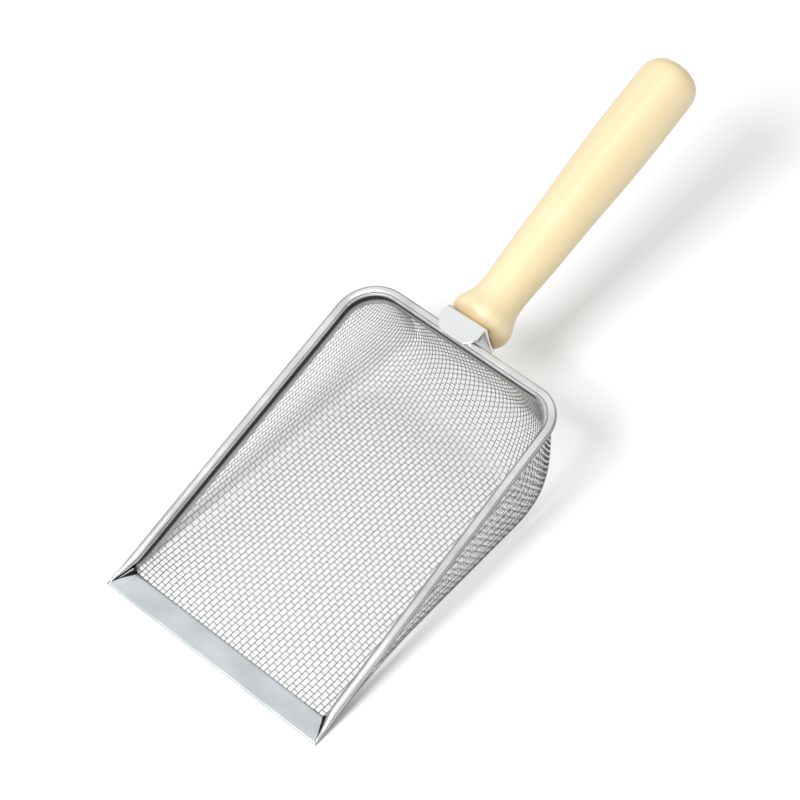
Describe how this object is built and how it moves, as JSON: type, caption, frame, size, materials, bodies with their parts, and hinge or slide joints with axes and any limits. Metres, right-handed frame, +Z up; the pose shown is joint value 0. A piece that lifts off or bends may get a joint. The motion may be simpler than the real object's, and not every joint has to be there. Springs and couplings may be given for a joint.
{
  "type": "sand scoop",
  "caption": "Hand scoop for sifting beach sand: a wire-mesh pan with a rolled metal rim, a folded front lip and a turned wooden handle.",
  "frame": {"origin": "on the ground under the middle of the flat mesh floor, 80 mm behind the lip's front edge, on the pan's middle line", "axes": "+Z up, +Y from the lip towards the handle, +X across the pan; the rim rises towards the handle at 21.8 degrees"},
  "size_m": [0.125, 0.3257, 0.1266],
  "materials": {
    "mesh": "plain-woven bright steel wire, about 0.45 mm thick",
    "sheet": "bright polished steel sheet",
    "wood": "pale turned wood with a clear lacquer",
    "fastener": "plain steel"
  },
  "bodies": {
    "root": {"mesh_basket": "mesh", "rim_strip": "sheet", "rim_core_wire": "fastener", "front_lip": "sheet", "handle_bracket": "sheet", "handle": "wood", "handle_screw": "fastener", "screw_washer": "fastener"}
  },
  "joints": []
}
